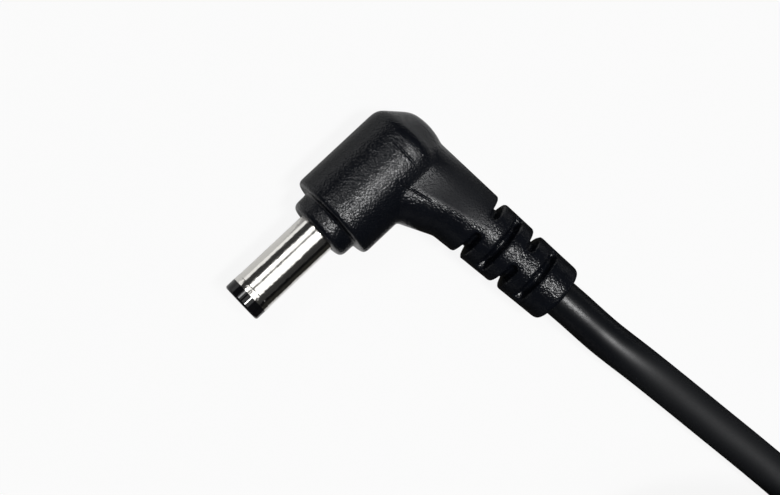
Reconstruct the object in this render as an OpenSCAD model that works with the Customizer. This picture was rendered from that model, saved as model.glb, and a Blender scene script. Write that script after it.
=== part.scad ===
// Right-angle DC barrel plug with a moulded cord.
// Millimetres. The origin is on the barrel's axis, at the front face of the collar.
// +X is the way the barrel points, +Y is the side where the cord leaves, +Z is up.
// The plug lies as it comes to rest: on its round head and on the last rib of its strain relief.

/* [Barrel] */
// Outside diameter of the metal tube
tube_od = 5.4; // [5.2:0.1:6]
// Wall of the metal tube
tube_wall = 0.4; // [0.3:0.05:0.5]
// Bare metal between the collar and the tip ring
metal_len = 11.2; // [8:0.1:14]
// Length of the rolled lip behind the tip ring
lip_len = 0.85; // [0.6:0.05:1.2]
// How far the rolled lip stands above the tube
lip_rise = 0.04; // [0.02:0.01:0.05]
// Diameter that the tube grows to inside the collar, where it meets its flange
shank_od = 5.8; // [5.6:0.1:6.2]
// Diameter of the flange that anchors the tube in the moulding
flange_od = 7.4; // [6.8:0.2:8]
// Thickness of that flange
flange_t = 0.9; // [0.6:0.1:1.4]
// Length of the spigot behind the flange
spigot_len = 0.8; // [0.6:0.1:1.4]

/* [Tip insulator] */
// Outside diameter of the black tip ring
ring_od = 5.5; // [5.2:0.1:6.2]
// Length of the tip ring
ring_len = 1.5; // [1:0.05:2]
// Diameter of the mouth in the tip ring
mouth_d = 2.9; // [2.8:0.1:3.2]
// Thickness of the ring's front wall, which covers the end of the contact
ring_front = 0.7; // [0.5:0.1:0.9]
// Lead-in chamfer of the mouth
mouth_chamfer = 0.35; // [0.1:0.05:0.5]
// Rounding of the ring's front edge
ring_edge = 0.3; // [0.1:0.05:0.45]

/* [Centre contact] */
// Bore that takes the socket's pin
bore_d = 2.5; // [2.1:0.1:2.6]
// Wall of the contact
contact_wall = 0.3; // [0.2:0.05:0.4]
// Depth of the bore
bore_depth = 9.5; // [7:0.5:10.5]
// Width of the two slits that make the contact springy
slit_w = 0.35; // [0.2:0.05:0.5]
// Length of the slits
slit_len = 4.5; // [3:0.5:6]
// Diameter of the stem that passes through the rear washer
stem_d = 1.8; // [1.4:0.1:2.2]
// Outside diameter of the solder cup
cup_od = 2.4; // [2.2:0.1:3]
// Inside diameter of the solder cup
cup_id = 1.5; // [1.3:0.1:1.8]
// Length of the solder cup
cup_len = 3.2; // [2.6:0.2:4]
// Depth of the solder cup
cup_depth = 2.4; // [1.6:0.2:2.6]

/* [Rear washer and solder tag] */
// Thickness of the insulating washer
washer_t = 0.8; // [0.6:0.1:1.2]
// Diameter of the insulating washer
washer_od = 5; // [4.4:0.2:5.2]
// Sheet thickness of the solder tag
tag_t = 0.4; // [0.3:0.1:0.6]
// Width of the tag's tongue
tongue_w = 2; // [1.4:0.2:2.6]
// Length of the tag's tongue
tongue_len = 4.6; // [3.6:0.2:5]
// Height of the tongue above the axis
tongue_y = 3.1; // [3:0.1:3.3]

/* [Moulded collar and head] */
// Diameter of the collar
collar_d = 8.6; // [8.2:0.1:10]
// Length of the collar
collar_len = 2.45; // [2:0.05:3.5]
// Rounding of the collar's front edge
collar_edge = 0.85; // [0.3:0.05:0.95]
// Diameter of the head
head_d = 12; // [11.8:0.2:14]
// Overall length of the head, crown included
head_len = 16.9; // [15.8:0.1:18]
// Rounding of the head's front edge
head_edge = 0.6; // [0.3:0.1:1]
// Width of the cone round the back of the head, across the radius
back_cone = 2.9; // [2:0.1:3.4]
// Height of the crown on the back of the head
crown_rise = 0.62; // [0.4:0.02:0.9]
// Rounding of the edges in front of that cone and behind it
back_edge = 2; // [1:0.2:2.4]

/* [Boot] */
// Thickness of the boot where it leaves the head
boot_thick = 10; // [9.6:0.2:11.6]
// Corner radius of the boot's section at the head
boot_corner = 4; // [3:0.2:4.4]
// Where the gusset starts, behind the head's front face
gusset_start = 2.6; // [1.6:0.2:4]
// Inset of the boot's back edge from the crown
boot_back_inset = 0.7; // [0.5:0.1:1]

/* [Strain relief] */
// Distance from the barrel's axis to the first rib
relief_y = 12; // [11:0.5:14]
// How far behind the collar the relief's axis passes there
relief_x = 15.25; // [14.6:0.05:15.4]
// Lean of the relief towards the back of the head
lean = 6.5; // [4:0.5:8]
// Diameter at the root of the relief
relief_root_d = 9.15; // [8.4:0.05:9.3]
// Diameter at the end of the relief
relief_end_d = 8.1; // [7.4:0.1:8.4]
// Length from the first rib to the end
relief_len = 14.9; // [13.2:0.1:16]
// Rounding of the end
relief_edge = 0.7; // [0.5:0.1:1.4]
// Number of slot stations along the relief
slot_count = 4; // [3:1:4]
// Distance from the first rib to the first slot
slot_first = 1.55; // [1.2:0.05:1.9]
// Distance between slot stations
slot_pitch = 3.05; // [2.6:0.05:3.2]
// Width of a slot at its floor
slot_floor_w = 0.55; // [0.3:0.05:0.7]
// Width of a slot just below its mouth
slot_mouth_w = 1.2; // [0.9:0.05:1.3]
// Rounding of a slot's mouth, as a small bevel
slot_bevel = 0.08; // [0.04:0.02:0.2]
// Material left between the cable and the floor of a slot
slot_skin = 0.35; // [0.2:0.05:0.5]
// Width of the webs that join the ribs
web_w = 2.5; // [2:0.1:3]

/* [Inner mould] */
// Diameter of the stiff inner mould in the head
core_d = 10.4; // [10:0.1:10.8]
// Distance that the inner mould stays inside the back of the head
core_back = 3.7; // [3.6:0.1:4.2]
// Diameter of the inner mould's branch in the boot
branch_d = 6.8; // [6.2:0.1:7.2]

/* [Cable] */
// Diameter of the cable's jacket
cord_d = 5.1; // [4.8:0.1:5.2]
// Diameter over the served shield
shield_d = 2.9; // [2.7:0.1:3.1]
// Diameter of the core's insulation
insulation_d = 2.1; // [1.9:0.1:2.3]
// Diameter of the centre conductor
conductor_d = 1.1; // [0.9:0.1:1.2]
// Diameter of the shield twisted into a pigtail
pigtail_d = 1.1; // [0.9:0.1:1.2]
// Bend radius of the core inside the head
core_bend = 3.6; // [3.2:0.1:3.8]
// Length of bare core at the cut end of the lead
bare_len = 16; // [14:1:17]
// Length of tinned strand at the tip of that core
tinned_len = 6; // [4:1:8]

/* [Coil and tie] */
// Radius of the coil, to the middle of its turns
coil_r = 25.6; // [25.4:0.2:26.4]
// Width of the tie
tie_w = 7; // [5:0.5:9]
// Thickness of the tie
tie_t = 0.6; // [0.4:0.1:0.8]

/* [Fits] */
// Clearance between pieces that are pressed or moulded together
press_gap = 0.02; // [0.01:0.01:0.04]

/* [Hidden] */
$fn = 96;
eps = 0.01;

// Stations along the barrel's axis
tip_x = metal_len + ring_len;
contact_x = tip_x - ring_front;
bore_floor_x = contact_x - bore_depth;
flange_x = -collar_len;
tag_x = flange_x - flange_t;
spigot_x = tag_x - spigot_len;
washer_x = spigot_x - washer_t;
cup_x = washer_x - cup_len;
insulation_x = cup_x - 1.6;
head_x = -collar_len;
crown_x = head_x - head_len;
cone_x = crown_x + crown_rise;
core_x = crown_x + core_back;

// Radii
tube_r = tube_od / 2;
tube_bore_r = tube_r - tube_wall;
shank_r = shank_od / 2;
contact_r = bore_d / 2 + contact_wall;
head_r = head_d / 2;
cone_r = head_r - back_cone;
cord_r = cord_d / 2;
crown_r = (cone_r * cone_r + crown_rise * crown_rise) / (2 * crown_rise);
crown_angle = asin(cone_r / crown_r);

// The relief's axis in the plane of the plug, and its far end
lean_way = [-sin(lean), cos(lean), 0];
relief_at = [-relief_x, relief_y, 0];
boot_end_t = -2.2;
strip_t = -5.6;
shield_t = -7;
branch_t = -4.2;
last_rib_t = relief_len - relief_edge;
slot_floor_r = cord_r + slot_skin;

// The plug rolls about the barrel's axis until its last rib meets the surface that the head lies on.
last_rib_r = relief_r(last_rib_t);
last_rib_y = relief_y + last_rib_t * cos(lean);
roll = asin(head_r / norm([last_rib_y, last_rib_r])) - atan2(last_rib_r, last_rib_y);
floor_z = -head_r;

// The core leaves the cup along the axis and turns into the relief's axis.
turn = 90 - lean;
turn_x = -relief_x + relief_y * tan(lean) + core_bend * sin(turn) - tan(lean) * core_bend * (1 - cos(turn));
turn_end = [turn_x - core_bend * sin(turn), core_bend * (1 - cos(turn)), 0];

// Where the shield's pigtail starts and ends
pigtail_from = relief_at + (shield_t - 0.3) * lean_way + [insulation_d / 2 + 0.12, 0, 0];
pigtail_to = [tag_x - tag_t - tongue_len + 1.4, tongue_y + tag_t + pigtail_d / 2 + 0.05, 0];

// The lead's route on the surface, to the place where it joins the coil
exit = rolled_point(relief_at + relief_len * lean_way);
exit_way = rolled_point(lean_way);
lead_z = floor_z + cord_r;
coil_at = [5.2, 85];
route = [
    exit, exit + 3 * exit_way,
    [-17.9, 35, -3], [-18.9, 41, -3.4], [-19.75, 47, lead_z], [-20.55, 53, lead_z],
    [-21.35, 59, lead_z], [-22.05, 65, lead_z], [-22.6, 71, lead_z], [-22.9, 78, lead_z]
];
coil_rows = 4;
coil_top = floor_z + coil_rows * cord_d;

// The cut end lies in the step on top of the coil.
cut_angle = 120;
step_angle = 40;
tie_angle = 145;
cut_z = coil_top - cord_r;
cut_at = [coil_at[0], coil_at[1], cut_z];
cut_r = coil_r + cord_r;
chord_angle = bare_len / cut_r * 90 / PI;
core_side = cord_r - insulation_d / 2 - 0.15;
shield_side = core_side - (insulation_d + pigtail_d) / 2 - 0.1;

function relief_r(t) =
    (relief_root_d + (relief_end_d - relief_root_d) * (t - boot_end_t) / (relief_len - boot_end_t)) / 2;
function rolled_point(p) = [p[0], p[1] * cos(roll) + p[2] * sin(roll), p[2] * cos(roll) - p[1] * sin(roll)];
function unit(v) = v / norm(v);
function halfway(a, b) = unit(unit(a) + unit(b));

// ---------- helpers ----------

// A revolved solid about the X axis, from points [x, radius]
module turned(points) {
    rotate([0, 90, 0]) rotate_extrude() polygon([for (p = points) [p[1], p[0]]]);
}

// A round bar along the X axis between two stations
module bar_x(from, to, r) {
    translate([min(from, to), 0, 0]) rotate([0, 90, 0]) cylinder(h = abs(to - from), r = r);
}

// A round bar between two points of the plug's own plane
module bar(from, to, r) {
    way = to - from;
    translate(from) rotate([0, 0, atan2(way[1], way[0])]) rotate([0, 90, 0]) cylinder(h = norm(way), r = r);
}

// What to take off a sharp corner of a profile so that an arc of radius f is left.
// a and b point along the two edges, away from the corner.
module corner_cut(corner, a, b, f) {
    u = unit(a);
    v = unit(b);
    middle = halfway(a, b);
    half = acos(u * v) / 2;
    centre = corner + middle * f / sin(half);
    difference() {
        polygon([corner - middle * 0.05, corner + u * f / tan(half), centre, corner + v * f / tan(half)]);
        translate(centre) circle(r = f);
    }
}

// Turns the plug about the barrel's axis, as it lies
module as_it_lies() {
    rotate([-roll, 0, 0]) children();
}

// Puts a child that is drawn along +Z onto the relief's axis, at a distance t from the first rib
module on_relief(t) {
    translate(relief_at) rotate([0, 0, lean]) translate([0, t, 0]) rotate([-90, 0, 0]) children();
}

// The way of the core: along the axis, round the bend and along the relief
module core_path(r, from_x, to_t) {
    bar_x(from_x, turn_x, r);
    translate([turn_x, core_bend, 0]) rotate([0, 0, 270 - turn]) rotate_extrude(angle = turn)
        translate([core_bend, 0]) circle(r = r, $fn = 48);
    bar(turn_end, relief_at + to_t * lean_way, r);
    // A hair-thin disc at each end of the bend makes the three stretches one solid.
    bar_x(turn_x - eps, turn_x + eps, r + eps);
    bar(turn_end - eps * lean_way, turn_end + eps * lean_way, r + eps);
}

// ---------- metal and insulators of the plug ----------

module barrel_tube() {
    ramp = lip_rise * 3;
    color("gainsboro") turned([
        [metal_len, tube_bore_r], [metal_len, tube_r + lip_rise],
        [metal_len - lip_len + ramp, tube_r + lip_rise], [metal_len - lip_len, tube_r],
        [0, tube_r], [flange_x, shank_r], [flange_x, flange_od / 2], [tag_x, flange_od / 2],
        [tag_x, tube_r], [spigot_x, tube_r], [spigot_x, tube_bore_r]
    ]);
}

module tip_insulator() {
    liner_r = tube_bore_r - press_gap;
    inner_r = contact_r + press_gap;
    color([0.06, 0.06, 0.07]) rotate([0, 90, 0]) rotate_extrude() difference() {
        polygon([
            [mouth_d / 2, contact_x], [mouth_d / 2, tip_x - mouth_chamfer],
            [mouth_d / 2 + mouth_chamfer, tip_x], [ring_od / 2, tip_x], [ring_od / 2, metal_len],
            [liner_r, metal_len], [liner_r, spigot_x], [inner_r, spigot_x], [inner_r, contact_x]
        ]);
        corner_cut([ring_od / 2, tip_x], [-1, 0], [0, -1], ring_edge);
    }
}

module centre_contact() {
    color("gold") difference() {
        union() {
            bar_x(spigot_x, contact_x, contact_r);
            bar_x(cup_x + eps, spigot_x + eps, stem_d / 2);
            bar_x(cup_x, washer_x, cup_od / 2);
        }
        bar_x(bore_floor_x, contact_x + 1, bore_d / 2);
        bar_x(cup_x - 1, cup_x + cup_depth, cup_id / 2);
        translate([contact_x - slit_len, -slit_w / 2, -contact_r - 1])
            cube([slit_len + 1, slit_w, 2 * contact_r + 2]);
    }
}

module rear_washer() {
    color("ivory") difference() {
        bar_x(washer_x, spigot_x, washer_od / 2);
        bar_x(washer_x - 1, spigot_x + 1, stem_d / 2 + press_gap);
    }
}

// The tag's ring sits behind the flange, and its tongue runs back towards the cable.
module tag_shape(g = 0) {
    difference() {
        bar_x(tag_x - tag_t - g, tag_x, flange_od / 2 + g);
        bar_x(tag_x - tag_t - 1, tag_x + 1, tube_r + press_gap);
    }
    translate([tag_x - tag_t - tongue_len - g, tongue_y - g, -tongue_w / 2 - g])
        cube([tongue_len + tag_t / 2 + g, tag_t + 2 * g, tongue_w + 2 * g]);
}

module solder_tag() {
    as_it_lies() color("silver") tag_shape();
}

// ---------- solder ----------

module centre_solder() {
    as_it_lies() color("lightgray") difference() {
        union() {
            bar_x(cup_x, cup_x + cup_depth, cup_id / 2 - press_gap);
            solder_cone();
        }
        bar_x(cup_x - 3, cup_x + cup_depth + 1, conductor_d / 2 + press_gap);
    }
}

module solder_cone(g = 0) {
    cone_len = 0.8;
    turned([
        [cup_x, 0], [cup_x, cup_od / 2 - 0.1 + g], [cup_x - cone_len - g, conductor_d / 2 + 0.15 + g],
        [cup_x - cone_len - g, 0]
    ]);
}

module solder_bead(g = 0) {
    bead_r = 0.95;
    intersection() {
        translate([pigtail_to[0] + 0.2, tongue_y + tag_t, 0]) sphere(r = bead_r + g, $fn = 48);
        translate([pigtail_to[0] - 3, tongue_y + tag_t, -3]) cube([6, 3, 6]);
    }
}

module tag_solder() {
    as_it_lies() color("lightgray") difference() {
        solder_bead();
        bar(pigtail_from, pigtail_to, pigtail_d / 2 + press_gap);
    }
}

// ---------- cable inside the plug ----------

module cable_jacket_end() {
    as_it_lies() color([0.08, 0.08, 0.09]) on_relief(strip_t) difference() {
        cylinder(h = relief_len - strip_t, r = cord_r);
        translate([0, 0, -1]) cylinder(h = relief_len - strip_t + 2, r = shield_d / 2 + press_gap);
    }
}

module cable_shield() {
    as_it_lies() color("peru") difference() {
        union() {
            on_relief(shield_t) cylinder(h = relief_len - shield_t, r = shield_d / 2);
            bar(pigtail_from, pigtail_to, pigtail_d / 2);
        }
        on_relief(shield_t - 3) cylinder(h = relief_len - shield_t + 6, r = insulation_d / 2 + press_gap);
    }
}

module core_insulation() {
    as_it_lies() color("white") difference() {
        core_path(insulation_d / 2, insulation_x, relief_len);
        core_path(conductor_d / 2 + press_gap, cup_x + 1, relief_len + 1);
    }
}

module centre_conductor() {
    as_it_lies() color("orange") core_path(conductor_d / 2, cup_x + cup_depth - 0.1, relief_len);
}

// ---------- mouldings ----------

// Everything that the inner mould is moulded round, with a clearance g
module inner_parts(g) {
    bar_x(spigot_x - g, flange_x, tube_r + g);
    tag_shape(g);
    bar_x(washer_x - g, spigot_x, washer_od / 2 + g);
    bar_x(cup_x, washer_x, cup_od / 2 + g);
    solder_cone(g);
    solder_bead(g);
    core_path(conductor_d / 2 + g, cup_x + 1, relief_len);
    core_path(insulation_d / 2 + g, insulation_x + g, relief_len);
    bar(pigtail_from, pigtail_to, pigtail_d / 2 + g);
    on_relief(shield_t - g) cylinder(h = relief_len, r = shield_d / 2 + g);
    on_relief(strip_t - g) cylinder(h = relief_len, r = cord_r + g);
}

// Outside of the inner mould, with a clearance g
module core_block(g = 0) {
    bar_x(core_x - g, tag_x - eps + g, core_d / 2 + g);
    on_relief(-relief_y) cylinder(h = relief_y + branch_t + g, r = branch_d / 2 + g);
}

module inner_mould() {
    as_it_lies() color([0.2, 0.2, 0.22]) difference() {
        core_block();
        inner_parts(press_gap);
    }
}

module head_shape() {
    rotate([0, 90, 0]) rotate_extrude() difference() {
        intersection() {
            polygon([
                [0, head_x], [head_r, head_x], [head_r, cone_x + back_cone],
                [cone_r, cone_x], [cone_r, crown_x - 1], [0, crown_x - 1]
            ]);
            union() {
                translate([0, crown_x + crown_r]) circle(r = crown_r, $fn = 180);
                translate([0, cone_x]) square([head_r + 1, head_len]);
            }
        }
        corner_cut([head_r, head_x], [-1, 0], [0, -1], head_edge);
        corner_cut([head_r, cone_x + back_cone], [0, 1], [-1, -1], back_edge);
        corner_cut([cone_r, cone_x], [1, 1], [-cos(crown_angle), -sin(crown_angle)], 2 * back_edge);
    }
}

module collar_shape() {
    rotate([0, 90, 0]) rotate_extrude() difference() {
        polygon([[0, -collar_len - 1], [collar_d / 2, -collar_len - 1], [collar_d / 2, 0], [0, 0]]);
        corner_cut([collar_d / 2, 0], [-1, 0], [0, -1], collar_edge);
    }
}

// Blends from a rounded square in the head to the round root of the relief
module boot_shape() {
    front = head_x - gusset_start;
    back = crown_x + boot_back_inset;
    hull() {
        translate([0, eps, 0]) rotate([90, 0, 0]) linear_extrude(height = eps)
            for (x = [front - boot_corner, back + boot_corner], z = [-1, 1])
                translate([x, z * (boot_thick / 2 - boot_corner)]) circle(r = boot_corner, $fn = 32);
        on_relief(boot_end_t) cylinder(h = eps, r = relief_root_d / 2, $fn = 64);
    }
}

module relief_shape() {
    root = [relief_root_d / 2, boot_end_t];
    end = [relief_end_d / 2, relief_len];
    on_relief(0) rotate_extrude() difference() {
        polygon([[0, boot_end_t], root, end, [0, relief_len]]);
        corner_cut(end, root - end, [-1, 0], relief_edge);
    }
}

// One slot station: a drafted groove that two webs interrupt
module slot(t, web_angle) {
    outer = relief_r(t);
    on_relief(t) difference() {
        rotate_extrude() polygon([
            [slot_floor_r, -slot_floor_w / 2], [outer - slot_bevel, -slot_mouth_w / 2],
            [outer + slot_bevel, -slot_mouth_w / 2 - 2 * slot_bevel],
            [outer + slot_bevel, slot_mouth_w / 2 + 2 * slot_bevel],
            [outer - slot_bevel, slot_mouth_w / 2], [slot_floor_r, slot_floor_w / 2]
        ]);
        rotate([0, 0, web_angle]) translate([-web_w / 2, -outer - 2, -2]) cube([web_w, 2 * outer + 4, 4]);
    }
}

module overmould() {
    as_it_lies() color([0.09, 0.09, 0.1]) difference() {
        union() {
            collar_shape();
            head_shape();
            boot_shape();
            relief_shape();
        }
        for (i = [0:slot_count - 1])
            slot(slot_first + i * slot_pitch, i % 2 == 0 ? 0 : 90);
        turned([
            [flange_x - eps, 0], [flange_x - eps, shank_r + press_gap], [0, tube_r + press_gap],
            [1, tube_r + press_gap], [1, 0]
        ]);
        bar_x(tag_x - tag_t, flange_x, flange_od / 2 + press_gap);
        core_block(press_gap);
        on_relief(-relief_y) cylinder(h = relief_y + relief_len + 1, r = cord_r + press_gap);
    }
}

// ---------- lead, coil and tie ----------

// A tube with n sides, swept along points; each ring stands square to the way the tube runs there.
module swept(points, r, n) {
    last = len(points) - 1;
    ways = [for (i = [0:last])
        i == 0 ? unit(points[1] - points[0])
        : i == last ? unit(points[last] - points[last - 1])
        : halfway(points[i + 1] - points[i], points[i] - points[i - 1])];
    rings = [for (i = [0:last]) let (side = unit(cross(ways[i], [0, 0, 1])), up = cross(side, ways[i]))
        for (k = [0:n - 1]) points[i] + r * (cos(360 * k / n) * side + sin(360 * k / n) * up)];
    walls = [for (i = [0:last - 1], k = [0:n - 1])
        [i * n + k, i * n + (k + 1) % n, (i + 1) * n + (k + 1) % n, (i + 1) * n + k]];
    caps = [[for (k = [n - 1:-1:0]) k], [for (k = [0:n - 1]) last * n + k]];
    polyhedron(points = rings, faces = concat(walls, caps), convexity = 4);
}

// Section of the coil's bundle of turns, grown outwards by g, with its foot on the floor
module bundle(g = 0) {
    r = cord_r + g;
    for (x = [-cord_r, cord_r], row = [0, coil_rows - 1])
        translate([coil_r + x, floor_z + cord_r + row * cord_d]) circle(r = r, $fn = 32);
    translate([coil_r - cord_d - g, floor_z + cord_r]) square([2 * (cord_d + g), (coil_rows - 1) * cord_d]);
    translate([coil_r - cord_r, floor_z - g]) square([cord_d, coil_rows * cord_d + 2 * g]);
}

module above_floor(z) {
    intersection() {
        children();
        translate([0, z]) square([3 * coil_r, 3 * coil_r]);
    }
}

// The tie's span about the coil's axis
module round_the_tie() {
    span = tie_w / coil_r * 180 / PI;
    translate([coil_at[0], coil_at[1], 0]) rotate([0, 0, tie_angle - span / 2])
        rotate_extrude(angle = span) children();
}

module coil_solid() {
    difference() {
        translate([coil_at[0], coil_at[1], 0]) rotate_extrude() bundle();
        translate([coil_at[0], coil_at[1], 0]) rotate([0, 0, cut_angle - step_angle])
            rotate_extrude(angle = step_angle)
                translate([coil_r, coil_top - cord_d]) square([2 * cord_d, 2 * cord_d]);
        round_the_tie() translate([coil_r - 2 * cord_d, floor_z - 1]) square([4 * cord_d, 1 + tie_t]);
    }
}

module lead_coil() {
    color([0.08, 0.08, 0.09]) coil_solid();
}

module lead_run() {
    color([0.08, 0.08, 0.09]) difference() {
        swept(route, cord_r, 10);
        coil_solid();
    }
}

module coil_tie() {
    color([0.15, 0.15, 0.16]) round_the_tie() difference() {
        above_floor(floor_z) bundle(tie_t);
        above_floor(floor_z + tie_t) bundle();
    }
}

// The cut end's pieces start flush with the face of the cut jacket and run along the step, side by side.
// Each is drawn along +Z from the face, and dips by the angle drop until it meets the turn below.
module at_the_cut(side, drop) {
    translate(cut_at) rotate([0, 0, cut_angle]) intersection() {
        translate([cut_r + side, 0, 0]) rotate([90 + drop, 0, 0]) rotate([0, -chord_angle, 0]) children();
        translate([0, -2 * bare_len, -cord_d]) cube([2 * cut_r, 2 * bare_len, 2 * cord_d]);
    }
}

module bare_core() {
    color("white") at_the_cut(core_side, 4) translate([0, 0, -1])
        cylinder(h = bare_len - tinned_len + 1, r = insulation_d / 2, $fn = 32);
}

module bare_core_tip() {
    color("silver") at_the_cut(core_side, 4) translate([0, 0, bare_len - tinned_len])
        cylinder(h = tinned_len, r = conductor_d / 2, $fn = 32);
}

module bare_shield() {
    color("silver") at_the_cut(shield_side, 5) translate([0, 0, -1])
        cylinder(h = bare_len - 1, r = pigtail_d / 2, $fn = 32);
}

overmould();
inner_mould();
barrel_tube();
tip_insulator();
centre_contact();
rear_washer();
solder_tag();
centre_solder();
tag_solder();
cable_jacket_end();
cable_shield();
core_insulation();
centre_conductor();
lead_run();
lead_coil();
coil_tie();
bare_core();
bare_core_tip();
bare_shield();
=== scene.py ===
# %% [markdown]
# # A right-angle DC barrel plug and its lead
#
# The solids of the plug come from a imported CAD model, in metres, and they are the fixed frame here.
# This lesson films them, winds the lead that the CAD model shows as a plain ring, and gives every
# piece the finish that it has on the real object. The plug lies on a pale floor, seen from above.

import bmesh
import bpy
import numpy as np
from mathutils import Matrix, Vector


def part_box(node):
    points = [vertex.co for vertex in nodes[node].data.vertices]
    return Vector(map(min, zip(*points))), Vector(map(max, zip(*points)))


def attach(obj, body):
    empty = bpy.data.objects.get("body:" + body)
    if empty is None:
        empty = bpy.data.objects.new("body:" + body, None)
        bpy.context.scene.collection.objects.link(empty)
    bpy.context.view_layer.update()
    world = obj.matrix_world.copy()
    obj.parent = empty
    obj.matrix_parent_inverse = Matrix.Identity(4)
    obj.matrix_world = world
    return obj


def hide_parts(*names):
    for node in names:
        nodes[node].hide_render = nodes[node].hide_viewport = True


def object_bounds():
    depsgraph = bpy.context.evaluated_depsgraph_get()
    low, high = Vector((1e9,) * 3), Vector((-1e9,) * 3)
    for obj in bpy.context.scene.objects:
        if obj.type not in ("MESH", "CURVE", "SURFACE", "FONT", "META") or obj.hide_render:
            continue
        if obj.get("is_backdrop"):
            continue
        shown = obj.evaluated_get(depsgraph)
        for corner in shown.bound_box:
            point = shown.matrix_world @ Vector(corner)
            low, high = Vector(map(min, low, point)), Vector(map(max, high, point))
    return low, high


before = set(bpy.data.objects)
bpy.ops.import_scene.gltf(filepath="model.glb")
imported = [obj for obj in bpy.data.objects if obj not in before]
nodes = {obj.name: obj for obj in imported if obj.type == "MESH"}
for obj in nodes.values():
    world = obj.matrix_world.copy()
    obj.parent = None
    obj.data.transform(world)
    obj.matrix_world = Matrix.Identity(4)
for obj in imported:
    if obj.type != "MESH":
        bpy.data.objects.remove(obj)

cad_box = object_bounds()
MM = 0.001
FLOOR_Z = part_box("lead_coil")[0].z
print("nodes:", len(nodes), " floor at", round(FLOOR_Z / MM, 2), "mm")

# %% [markdown]
# ## The camera
#
# The plug is small and lies flat, so the camera hangs above it and looks almost straight down.
# A camera is placed by three directions at right angles: the way back from the scene to the lens,
# the way that is right in the picture, and the way that is up. Two small tilts give the first, one
# turn about it gives the second, and a cross product gives the third.

# %% Camera
CAMERA_AIM = np.array([-5.38, 7.61, 0.0]) * MM
CAMERA_TILTS = 0.1135, -0.0137
CAMERA_TURN = 2.3856
CAMERA_DISTANCE = 147.9 * MM
LENS_MM, SENSOR_MM = 55.0, 36.0


def unit(v):
    """A vector divided by its own length."""
    v = np.asarray(v, float)
    return v / np.linalg.norm(v)


def placed(right, up, back, place):
    """The 4 x 4 matrix whose columns are three directions and a place."""
    grid = np.eye(4)
    for column, v in enumerate((right, up, back, place)):
        grid[:3, column] = v
    return Matrix(grid.tolist())


def aim_camera():
    """Back is (tan tilt, tan tilt, 1) made unit; right is the turn's direction less its part along back."""
    back = unit([*np.tan(CAMERA_TILTS), 1.0])
    turned = np.array([np.cos(CAMERA_TURN), np.sin(CAMERA_TURN), 0.0])
    right = unit(turned - (turned @ back) * back)
    lens = bpy.data.cameras.new("camera")
    lens.lens, lens.sensor_width = LENS_MM, SENSOR_MM
    lens.clip_start, lens.clip_end = 10 * MM, 10.0
    camera = bpy.data.objects.new("camera", lens)
    camera.matrix_world = placed(right, np.cross(back, right), back, CAMERA_AIM + back * CAMERA_DISTANCE)
    bpy.context.scene.collection.objects.link(camera)
    bpy.context.scene.camera = camera
    return camera


camera = aim_camera()
print("camera at", [round(x / MM, 1) for x in camera.matrix_world.translation], "mm")

# %% [markdown]
# ## The lead's route
#
# A lead is a fixed length of something springy: it leaves the strain relief straight, sinks to the
# floor within a few diameters and runs on in one slow curve. Such a curve could be simulated, but it
# is so calm that a short list of given points gives the same with less work.

# %% The lead's route
LEAD_R = 2.55 * MM
LEAD_Z = FLOOR_Z + LEAD_R
EXIT = np.array([-16.937, 26.730, -1.991]) * MM
EXIT_WAY = unit([-0.1132, 0.9908, -0.0738])
STRAIGHT = 3 * MM
RUN = np.array([
    [-17.9, 35, -3.0], [-18.9, 41, -3.4], [-19.75, 47, 0], [-20.55, 53, 0],
    [-21.35, 59, 0], [-22.05, 65, 0], [-22.6, 71, 0], [-22.9, 78, 0],
]) * MM
RUN[2:, 2] = LEAD_Z  # from the third point on, the lead lies on the floor
print("the lead leaves the plug", round((EXIT[2] - LEAD_Z) / MM, 2), "mm above where it comes to lie")

# %% [markdown]
# ## The coil
#
# The rest of the 1.2 m is put away in a round coil, where every turn lies beside or on the last. The
# coil is two turns wide and four high. A turn keeps its radius and height for most of its way and
# slides over to the next place along a part of its circle. The slides of later turns come earlier,
# so that no turn runs through another. A loop over the turns adds one such slide after another.

# %% The coil's winding
COIL_AT = np.array([5.2, 85.0]) * MM
COIL_R = 25.6 * MM
OUT, IN = COIL_R + LEAD_R, COIL_R - LEAD_R
# Each turn's radius and the row that it lies in, from the first turn to the last
TRACKS = [(OUT, 0), (IN, 0), (IN, 1), (OUT, 1), (OUT, 2), (IN, 2), (IN, 3), (OUT, 3)]
LAST_TURN = 60 / 360
FIRST_SLIDE, EARLIER, SLIDE = 320 / 360, 30 / 360, 80 / 360
TURN_POINTS, SPAN_POINTS = 24, 3


def smoothstep(t):
    """0 below 0, 1 above 1, and 3 t^2 - 2 t^3 between, which starts and ends level."""
    t = np.clip(t, 0, 1)
    return t * t * (3 - 2 * t)


def winding():
    """Turn k runs clockwise at its track's radius and height, and a smoothstep slides both to the next."""
    total = len(TRACKS) - 1 + LAST_TURN
    turns = np.linspace(0, total, int(total * TURN_POINTS) + 1)
    tracks = np.array([(r, LEAD_Z + row * 2 * LEAD_R) for r, row in TRACKS])
    place = np.tile(tracks[0], (len(turns), 1))
    for k in range(len(TRACKS) - 1):
        middle = k + FIRST_SLIDE - EARLIER * k
        slide = smoothstep((turns - middle) / SLIDE + 0.5)
        place += slide[:, None] * (tracks[k + 1] - tracks[k])
    angle = np.pi - 2 * np.pi * turns
    x = COIL_AT[0] + place[:, 0] * np.cos(angle)
    y = COIL_AT[1] + place[:, 0] * np.sin(angle)
    return np.stack([x, y, place[:, 1]], 1)


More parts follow.
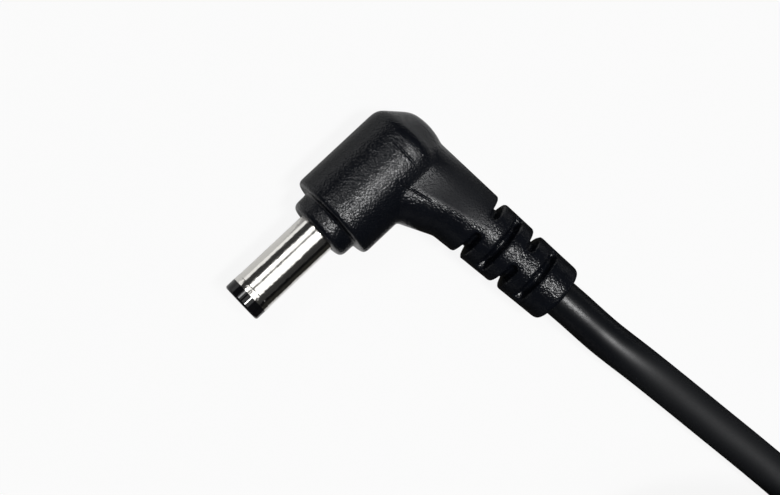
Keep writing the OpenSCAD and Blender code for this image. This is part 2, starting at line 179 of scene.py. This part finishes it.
def through(points, per_span):
    """A Catmull-Rom curve: at each point it runs parallel to the line between the two neighbours."""
    ends = 2 * points[0] - points[1], 2 * points[-1] - points[-2]
    p = np.vstack([ends[0], points, ends[1]])
    t = np.arange(per_span)[:, None, None] / per_span
    a, b, c, d = p[:-3], p[1:-2], p[2:-1], p[3:]
    spans = 0.5 * (2 * b + (c - a) * t + (2 * a - 5 * b + 4 * c - d) * t**2 + (3 * b - a - 3 * c + d) * t**3)
    return np.vstack([spans.transpose(1, 0, 2).reshape(-1, 3), points[-1:]])


coil_points = winding()
run_points = through(np.vstack([EXIT, EXIT + STRAIGHT * EXIT_WAY, RUN, coil_points[:1]]), SPAN_POINTS)
lead_points = np.vstack([run_points, coil_points[1:]])

# %% [markdown]
# ## The lead as one tube
#
# A cable can be an open curve with a round bevel. Here it is a tube worked out along the same kind
# of centreline, because a mesh has a true size at once.

# %% The lead as one tube
def add_surface(name, points, faces):
    """A mesh piece from points and faces, shaded smooth."""
    mesh = bpy.data.meshes.new(name)
    mesh.from_pydata(points.tolist(), [], faces)
    mesh.polygons.foreach_set("use_smooth", np.ones(len(mesh.polygons), bool))
    mesh.update()
    piece = bpy.data.objects.new(name, mesh)
    bpy.context.scene.collection.objects.link(piece)
    return piece


def tube_faces(rows, columns):
    """Quads between neighbouring rings, and a fan of triangles round the point at each end."""
    ring = np.arange(columns)
    after = (ring + 1) % columns
    start = (np.arange(rows - 1) * columns)[:, None]
    quads = np.stack([start + ring, start + after, start + columns + after, start + columns + ring], -1)
    tip, last = rows * columns, (rows - 1) * columns
    fans = [np.stack([after, ring, np.full(columns, tip)], -1),
            np.stack([last + ring, last + after, np.full(columns, tip + 1)], -1)]
    return quads.reshape(-1, 4).tolist() + np.concatenate(fans).tolist()


def tube_points(path, radius, columns):
    """A ring at each point of the path, square to the way: side = way x up, then up = side x way."""
    way = np.gradient(path, axis=0)
    way /= np.linalg.norm(way, axis=1)[:, None]
    side = np.cross(way, [0, 0, 1])
    side /= np.linalg.norm(side, axis=1)[:, None]
    up = np.cross(side, way)
    angle = np.linspace(0, 2 * np.pi, columns, endpoint=False)[None, :, None]
    rings = path[:, None] + radius * (np.cos(angle) * side[:, None] - np.sin(angle) * up[:, None])
    return np.vstack([rings.reshape(-1, 3), path[:1], path[-1:]])


LEAD_SIDES = 40
lead_path = through(lead_points, SPAN_POINTS)
lead = add_surface("lead", tube_points(lead_path, LEAD_R, LEAD_SIDES), tube_faces(len(lead_path), LEAD_SIDES))
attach(lead, "root")
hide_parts("lead_run", "lead_coil")
print("lead", len(lead.data.polygons), "faces")

# %% [markdown]
# ## The stripped end
#
# The far end of this lead is bare, as it is sold for splicing: the shield is twisted into a pigtail
# and tinned, and the core keeps its white insulation up to a short tinned tip. A twisted bundle of
# strands is a tube whose radius swells once for every strand, and whose swellings turn with the way
# along it. That is a surface over two numbers, so it is worked out as one grid.

# %% Twisted strands
CUT_TURN = np.radians(120)
CUT_R, CUT_Z = OUT, LEAD_Z + 6 * LEAD_R
BARE, TINNED = 16 * MM, 6 * MM
LEAN_IN = BARE / CUT_R / 2
WIRE_R, STRANDS = 0.55 * MM, 7


def add_strands(name, side, drop, start, length, pitch, sway):
    """r = radius (1 - groove (1 - |cos(strands (angle - twist) / 2)|)), closed at the tip as a dome is."""
    rows, columns, groove = 97, 8 * STRANDS, 0.2
    s = np.linspace(0, 1, rows)[:, None]
    angle = np.linspace(0, 2 * np.pi, columns, endpoint=False)[None, :]
    twist = 2 * np.pi * s * length / pitch
    swell = 1 - groove * (1 - np.abs(np.cos(STRANDS * (angle - twist) / 2)))
    dome = np.clip((s * length - length + WIRE_R) / (1.02 * WIRE_R), 0, 1)
    r = WIRE_R * swell * np.sqrt(1 - dome**2)
    bend = sway * np.sin(np.pi * s) ** 2
    local = np.stack([r * np.cos(angle) + bend, r * np.sin(angle), start + length * s + 0 * angle], -1)
    local = np.vstack([local.reshape(-1, 3), [[0, 0, start], [0, 0, start + length]]])
    return add_surface(name, at_the_cut(local, side, drop), tube_faces(rows, columns))


def at_the_cut(local, side, drop):
    """Points along +Z from the cut face: leaned in and dipped, set beside the core, turned to the cut."""
    lean, dip, turn = (np.array(m) for m in (
        [[np.cos(LEAN_IN), 0, -np.sin(LEAN_IN)], [0, 1, 0], [np.sin(LEAN_IN), 0, np.cos(LEAN_IN)]],
        [[1, 0, 0], [0, -np.sin(drop), -np.cos(drop)], [0, np.cos(drop), -np.sin(drop)]],
        [[np.cos(CUT_TURN), -np.sin(CUT_TURN), 0], [np.sin(CUT_TURN), np.cos(CUT_TURN), 0], [0, 0, 1]]))
    beside = local @ lean.T @ dip.T + [CUT_R + side, 0, 0]
    return beside @ turn.T + [*COIL_AT, CUT_Z]


core_tip = add_strands("core_tip_strands", side=1.35 * MM, drop=np.radians(4), start=BARE - TINNED,
                       length=TINNED, pitch=9 * MM, sway=0)
pigtail = add_strands("shield_pigtail", side=-0.35 * MM, drop=np.radians(5), start=-1 * MM,
                      length=BARE, pitch=7 * MM, sway=0.15 * MM)
for piece, node in ((core_tip, "bare_core_tip"), (pigtail, "bare_shield")):
    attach(piece, "root")
    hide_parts(node)
    corners = np.array([list(c) for c in piece.bound_box]) / MM
    print(piece.name, "from", corners.min(0).round(2), "to", corners.max(0).round(2), "mm")

# %% [markdown]
# ## The softened moulding
#
# Soft PVC comes out of its mould with small round corners: along the ribs, in the slots and where the
# boot grows out of the head. The CAD solid keeps these edges sharp, so the moulding that is seen is a
# copy of it. Remesh builds the copy again from small cubes, and Smooth then moves each point towards
# the middle of its neighbours a few times. Flat and round stretches stay, and only the corners go.

# %% Softened moulding
CUBE, RELAX_TIMES = 0.20 * MM, 10


def softened(name, node, cube, times):
    """A closed copy of a CAD node: doubles merged, rebuilt from cubes of one size, then relaxed."""
    mesh = nodes[node].data.copy()
    work = bmesh.new()
    work.from_mesh(mesh)
    bmesh.ops.remove_doubles(work, verts=work.verts, dist=MM / 1000)
    work.to_mesh(mesh)
    work.free()
    mesh.materials.clear()
    piece = bpy.data.objects.new(name, mesh)
    bpy.context.scene.collection.objects.link(piece)
    cubes = piece.modifiers.new("cubes", "REMESH")
    cubes.mode, cubes.voxel_size, cubes.use_smooth_shade = "VOXEL", cube, True
    relax = piece.modifiers.new("relax", "SMOOTH")
    relax.factor, relax.iterations = 0.5, times
    return piece


moulding = softened("moulding", "overmould", CUBE, RELAX_TIMES)
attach(moulding, "root")
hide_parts("overmould")
seen_mesh = moulding.evaluated_get(bpy.context.evaluated_depsgraph_get()).to_mesh()
print("moulding", len(seen_mesh.polygons), "faces")

# %% [markdown]
# ## Finishes: a helper for shader maths
#
# A material is a small program of nodes. Wiring nodes one by one hides the sum that they work out,
# so a short class wraps a socket and answers to plus, minus and times, and each such sign adds one
# Math node. Everything else, such as a noise or a bump, comes from one method that takes the node's
# kind, its settings and what goes into its sockets.

# %% Shader helper
class Wire:
    """An output socket that takes part in Python sums."""

    def __init__(self, finish, socket):
        self.finish, self.socket = finish, socket

    def maths(self, operation, a, b):
        """One Math node, which adds, subtracts or multiplies two values."""
        return self.finish.node("Math", {"operation": operation}, {0: a, 1: b})

    def __add__(self, other):
        return self.maths("ADD", self, other)

    def __radd__(self, other):
        return self.maths("ADD", other, self)

    def __sub__(self, other):
        return self.maths("SUBTRACT", self, other)

    def __rsub__(self, other):
        return self.maths("SUBTRACT", other, self)

    def __mul__(self, other):
        return self.maths("MULTIPLY", self, other)

    def __rmul__(self, other):
        return self.maths("MULTIPLY", other, self)


class Finish:
    """A material whose surface is one Principled shader; numbers that stay the same sit on its sockets."""

    def __init__(self, name, **sockets):
        self.material = bpy.data.materials.new(name)
        self.material.use_nodes = True
        self.tree = self.material.node_tree
        self.surface = self.tree.nodes["Principled BSDF"]
        self.set(**sockets)

    def put(self, socket, value):
        """Links a wire to a socket, or sets a number or a colour on it, where a colour's alpha is 1."""
        if isinstance(value, Wire):
            self.tree.links.new(value.socket, socket)
        elif socket.type == "RGBA":
            socket.default_value = (*value, 1.0)
        else:
            socket.default_value = value

    def set(self, **sockets):
        """Base_Color=... sets or links the shader's socket Base Color."""
        for name, value in sockets.items():
            self.put(self.surface.inputs[name.replace("_", " ")], value)

    def node(self, kind, settings, sockets, output=0):
        """A node of a kind, its settings first, then its sockets by name or number; gives one output."""
        node = self.tree.nodes.new("ShaderNode" + kind)
        for name, value in settings.items():
            setattr(node, name, value)
        for name, value in sockets.items():
            self.put(node.inputs[name], value)
        return Wire(self, node.outputs[output])

    def here(self):
        """Where a point is on its piece, in metres."""
        return self.node("TexCoord", {}, {}, "Object")

    def place(self, axis):
        """One coordinate of a point on its piece, in metres: 0 is x, 1 is y, 2 is z."""
        return self.node("SeparateXYZ", {}, {0: self.here()}, axis)

    def ramp(self, value, low, high):
        """0 below low, 1 above high, and a smoothstep between."""
        return self.node("MapRange", {"interpolation_type": "SMOOTHSTEP"},
                         {"Value": value, "From Min": low, "From Max": high}, "Result")

    def near(self, value, middle, reach):
        """1 where the value is at the middle, falling smoothly to 0 at the given reach on both sides."""
        away = self.node("Math", {"operation": "ABSOLUTE"}, {0: value - middle})
        return 1 - self.ramp(away, 0.0, reach)

    def noise(self, size, detail=2.0):
        """Smooth random values about 0.5, whose blobs are about as large as size, in metres."""
        return self.node("TexNoise", {}, {"Vector": self.here(), "Scale": 1 / size, "Detail": detail}, "Fac")

    def mix(self, factor, a, b):
        """A colour between a and b."""
        return self.node("Mix", {"data_type": "RGBA"}, {"Factor": factor, "A": a, "B": b}, "Result")

    def bump(self, height, depth):
        """Tilts the surface's normal as if height, from 0 to 1, stood depth metres tall."""
        self.set(Normal=self.node("Bump", {}, {"Height": height, "Distance": depth}, "Normal"))

    def on(self, *pieces):
        """Gives the finish to pieces, in place of the one that a CAD piece came with."""
        for piece in pieces:
            if piece.data.materials:
                piece.material_slots[0].material = self.material
            else:
                piece.data.materials.append(self.material)
        print(self.material.name, "on", ", ".join(piece.name for piece in pieces))

# %% [markdown]
# ## The moulded PVC
#
# The head, the boot and the strain relief are one moulding of soft black PVC. The mould is
# spark-eroded, which leaves a fine pebbled grain that breaks a highlight into specks. The colour is
# nearly black with a breath of blue, and what one sees is the grain: a bump from noise at two sizes,
# and a roughness that changes a little from place to place.
#
# The mould left three more marks. A short crease crosses the head. The flat side of the boot is
# duller than the rest, and a fine bead runs along its front, which slants back as it leaves the
# head. Each is a soft mask over the place along the barrel (x) and across it (y).

# %% Moulded PVC
CREASE_X = -13.85 * MM
FLAT_X, FLAT_SLANT = -10.3 * MM, -0.33
pvc = Finish("moulded_pvc", IOR=1.4)
grain = pvc.noise(0.24 * MM, 1.0)
lumps = pvc.noise(1.6 * MM)
along, across = pvc.place(0), pvc.place(1)
flat_front = FLAT_X + FLAT_SLANT * across
flat = pvc.ramp(flat_front - along, 0.0, 0.8 * MM) * pvc.near(across, 9.0 * MM, 8.0 * MM)
bead = pvc.near(along - flat_front, 0.1 * MM, 0.22 * MM) * pvc.near(across, 4.6 * MM, 3.2 * MM)
crease = pvc.near(along, CREASE_X, 0.25 * MM) * pvc.near(across, 0.6 * MM, 2.8 * MM)
pvc.set(Base_Color=pvc.mix(lumps, (0.0028, 0.0035, 0.0055), (0.0045, 0.0056, 0.0088)),
        Roughness=0.17 + 0.10 * grain + 0.46 * flat)
pvc.bump(grain + 0.3 * lumps - 1.5 * crease + 2.2 * bead, 0.08 * MM)
pvc.on(moulding)

# %% [markdown]
# ## The jacket of the lead
#
# The jacket is extruded, so it has no grain: it is a smooth satin black, with only the faint long
# unevenness that the extruder leaves. Its highlight is one streak. Beside the relief, where the lead
# bends most, small scuffs speckle that streak, and further on the jacket is duller from handling, so
# the streak fades. Both follow the place along y, the way in which the lead leaves the plug.

# %% Cable jacket
jacket = Finish("cable_jacket", IOR=1.45)
waves = jacket.noise(5 * MM, 1.0)
dust = jacket.noise(0.25 * MM, 2.0)
along = jacket.place(1)
handled = jacket.ramp(along, 33 * MM, 46 * MM)
scuffed = jacket.near(along, 28 * MM, 6 * MM)
jacket.set(Base_Color=jacket.mix(waves, (0.0032, 0.0039, 0.0055), (0.0048, 0.0056, 0.0076)),
           Roughness=0.30 + 0.08 * dust + 0.33 * handled)
jacket.bump(waves + (0.02 + 0.18 * scuffed) * dust, 0.12 * MM)
jacket.on(lead, nodes["cable_jacket_end"])

# %% [markdown]
# ## Metals
#
# The barrel is turned brass with bright nickel. Nickel is a mirror with a slightly warm tint, so its
# look is made by what stands round it. Turning leaves fine rings round the axis, which is a noise
# that changes only along the axis, and plating leaves a faint waviness and finer pits. The rolled
# lip at the tip is more uneven than the rest. The contact's yellow plate, the duller tin and the
# warm copper lie inside or at the far end, and one noise is enough for each.

# %% Nickel, contact, tin and copper
nickel = Finish("bright_nickel", Metallic=1.0, Base_Color=(0.80, 0.78, 0.74))
RING_WIDTH, LIP_X = 0.12 * MM, 10.9 * MM
along = nickel.place(0)
rings = nickel.node("TexNoise", {"noise_dimensions": "1D"}, {"W": along, "Scale": 1 / RING_WIDTH}, "Fac")
ripple = nickel.noise(0.7 * MM, 1.5)
pits = nickel.noise(0.22 * MM, 1.0)
lip = nickel.near(along, LIP_X, 0.6 * MM)
nickel.set(Roughness=0.09 + 0.08 * rings)
nickel.bump(0.12 * rings + ripple + 3 * lip * ripple + 0.3 * pits, 0.02 * MM)
nickel.on(nodes["barrel_tube"])

brass = Finish("contact_plate", Metallic=1.0, Base_Color=(0.82, 0.70, 0.42))
brass.set(Roughness=0.22 + 0.1 * brass.noise(0.4 * MM))
brass.on(nodes["centre_contact"])

tin = Finish("tinned_metal", Metallic=1.0, Base_Color=(0.70, 0.70, 0.69))
dull = tin.noise(0.5 * MM)
tin.set(Roughness=0.28 + 0.2 * dull)
tin.bump(dull, 0.02 * MM)
tin.on(core_tip, pigtail, *(nodes[n] for n in ("solder_tag", "centre_solder", "tag_solder")))

copper = Finish("copper_strand", Metallic=1.0)
strand = copper.noise(0.3 * MM)
copper.set(Base_Color=copper.mix(strand, (0.72, 0.40, 0.25), (0.84, 0.52, 0.36)),
           Roughness=0.3 + 0.1 * strand)
copper.on(nodes["cable_shield"], nodes["centre_conductor"])

# %% [markdown]
# ## Plastics and the tie
#
# The tip ring is a hard glossy plastic, the smoothest surface of the whole plug. The core's
# insulation is a white waxy plastic, the washer and the inner moulding are plain stiff ones, and
# the tie is a strip of black woven strap, whose fine threads are a small rough noise.

# %% Plastics and tie
gloss = Finish("tip_gloss", Base_Color=(0.004, 0.004, 0.005), IOR=1.38)
gloss.set(Roughness=0.04 + 0.05 * gloss.noise(0.6 * MM))
gloss.on(nodes["tip_insulator"])

waxy = Finish("core_plastic", IOR=1.5)
cloud = waxy.noise(2 * MM)
waxy.set(Base_Color=waxy.mix(cloud, (0.74, 0.74, 0.71), (0.82, 0.82, 0.80)), Roughness=0.35 + 0.1 * cloud)
waxy.on(nodes["core_insulation"], nodes["bare_core"])

stiff = Finish("stiff_plastic", IOR=1.5)
flow = stiff.noise(1.5 * MM)
stiff.set(Base_Color=stiff.mix(flow, (0.50, 0.50, 0.46), (0.58, 0.58, 0.54)), Roughness=0.5 + 0.1 * flow)
stiff.on(nodes["rear_washer"], nodes["inner_mould"])

strap = Finish("tie_strap", IOR=1.5)
thread = strap.noise(0.25 * MM, 1.0)
strap.set(Base_Color=strap.mix(thread, (0.012, 0.012, 0.013), (0.035, 0.035, 0.037)),
          Roughness=0.75 + 0.15 * thread)
strap.bump(thread, 0.08 * MM)
strap.on(nodes["coil_tie"])
print("finishes:", len(bpy.data.materials))

# %% [markdown]
# ## Floor and world
#
# The floor is a wide pale disc that looks white to the camera and still shows a soft shadow: for
# camera rays its own light makes up most of its white, and the lamps the rest. The world is white to
# the camera and nearly dark to everything else, so that black plastic stays black.

# %% Floor and world
FLOOR_R = 1.5
OWN_WHITE = 0.9
WORLD_LEVEL = 0.035


def add_floor():
    """A disc: rings of points whose radius grows with the square of the ring's number."""
    rings, columns = 12, 96
    r = FLOOR_R * (np.arange(1, rings + 1) / rings)[:, None] ** 2
    angle = np.linspace(0, 2 * np.pi, columns, endpoint=False)[None, :]
    points = np.stack([r * np.cos(angle), r * np.sin(angle), np.full((rings, columns), FLOOR_Z)], -1)
    points = np.vstack([points.reshape(-1, 3), [[0, 0, FLOOR_Z]]])
    ring = np.arange(columns)
    after = (ring + 1) % columns
    start = (np.arange(rings - 1) * columns)[:, None]
    quads = np.stack([start + ring, start + columns + ring, start + columns + after, start + after], -1)
    fan = np.stack([ring, after, np.full(columns, rings * columns)], -1)
    return add_surface("floor", points, quads.reshape(-1, 4).tolist() + fan.tolist())


floor = add_floor()
floor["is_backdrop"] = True
white = Finish("pale_floor", Base_Color=(0.76, 0.76, 0.76), Roughness=0.9)
seen = white.node("LightPath", {}, {}, "Is Camera Ray")
glow = white.node("Emission", {}, {"Color": (1.0, 1.0, 1.0), "Strength": 1.0})
lit = Wire(white, white.surface.outputs[0])
both = white.node("MixShader", {}, {0: seen * OWN_WHITE, 1: lit, 2: glow})
white.tree.links.new(both.socket, white.tree.nodes["Material Output"].inputs["Surface"])
white.on(floor)

world = bpy.data.worlds.new("studio")
world.use_nodes = True
bpy.context.scene.world = world
sky = world.node_tree
ray = sky.nodes.new("ShaderNodeLightPath")
shade = sky.nodes.new("ShaderNodeMix")
shade.data_type = "RGBA"
shade.inputs["A"].default_value = (WORLD_LEVEL, WORLD_LEVEL, WORLD_LEVEL, 1)
shade.inputs["B"].default_value = (1, 1, 1, 1)
sky.links.new(ray.outputs["Is Camera Ray"], shade.inputs["Factor"])
sky.links.new(shade.outputs["Result"], sky.nodes["Background"].inputs["Color"])
bpy.context.scene.view_settings.view_transform = "Standard"
print("floor:", len(floor.data.polygons), "faces")

# %% [markdown]
# ## Lamps
#
# Black plastic and nickel show mostly what they mirror. Over the plug stands a small bright lamp in
# a large soft one, and a weaker pair like it stands on the other side. The dark gap between the
# pairs draws a dark band along the barrel.

# %% Lamps
PLUG_AT = np.array([-8.0, 6.0, 0.0]) * MM


def add_lamp(name, toward, half, level, distance):
    """A soft rectangle that faces the plug: its place and half widths in degrees, its level a radiance."""
    back = unit([*np.tan(np.radians(toward)), 1.0])
    right = unit(np.array([1.0, 0, 0]) - back[0] * back)
    width, depth = 2 * distance * np.tan(np.radians(half))
    light = bpy.data.lights.new(name, "AREA")
    light.shape, light.size, light.size_y = "RECTANGLE", width, depth
    light.energy = level * np.pi * width * depth
    lamp = bpy.data.objects.new(name, light)
    lamp.matrix_world = placed(right, np.cross(back, right), back, PLUG_AT + back * distance)
    lamp.visible_camera = False
    bpy.context.scene.collection.objects.link(lamp)
    print(name, "lights a pale floor by", round(level * width * depth / distance**2 / np.pi * back[2], 2))


add_lamp("key", toward=(-4, 18), half=(6, 3), level=80, distance=1.5)
add_lamp("key_soft", toward=(-2, 18.5), half=(12, 22.5), level=1.4, distance=1.6)
add_lamp("side_spot", toward=(4, -27), half=(4, 4), level=12, distance=1.5)
add_lamp("side_soft", toward=(0, -25), half=(12, 13), level=1.15, distance=1.6)

# %% [markdown]
# ## Cards for the reflections
#
# In a studio, dark and bright cards are set round a shiny thing to shape what it mirrors. Here a card
# is a flat face that gives off its own light and is hidden from all rays but those of a reflection.
# A dark one lies on the floor on the cord's side, a grey one beside the head, and a bright one
# stands far off on the other side, where it draws the pale edge of the barrel.

# %% Cards
CARD_LIFT = 0.05 * MM
WHITE, WARM = (1.0, 1.0, 1.0), (1.0, 0.97, 0.85)


def add_card(name, low, high, colour, level):
    """A flat card between two corners, lying where both are equally high and else standing."""
    (x0, y0, z0), (x1, y1, z1) = low, high
    corners = np.array([[x0, y0, z0], [x1, y0, z0], [x1, y1, z1], [x0, y1, z1]])
    card = add_surface(name, corners, [[0, 1, 2, 3]])
    paint = Finish(name, Base_Color=(0.0, 0.0, 0.0), Roughness=1.0, Specular_IOR_Level=0.0,
                   Emission_Color=colour, Emission_Strength=level)
    paint.on(card)
    card.visible_camera = card.visible_diffuse = card.visible_shadow = card.visible_transmission = False
    card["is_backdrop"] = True


LYING = FLOOR_Z + CARD_LIFT
add_card("dark_card", (-70 * MM, 9 * MM, LYING), (70 * MM, 200 * MM, LYING), WARM, 0.024)
add_card("head_card", (-32 * MM, -90 * MM, LYING), (-0.4 * MM, -8 * MM, LYING), WHITE, 0.3)
add_card("bright_card", (-120 * MM, -300 * MM, FLOOR_Z), (120 * MM, -300 * MM, 96 * MM), WHITE, 1.0)

# %% [markdown]
# ## Size
#
# Both boxes are measured, and how much the dressed object grew beyond the CAD model is printed.

# %% Sizes
seen_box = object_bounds()
cad_size, seen_size = cad_box[1] - cad_box[0], seen_box[1] - seen_box[0]
print("grown by", [round((seen - cad) / MM, 2) for seen, cad in zip(seen_size, cad_size)], "mm")
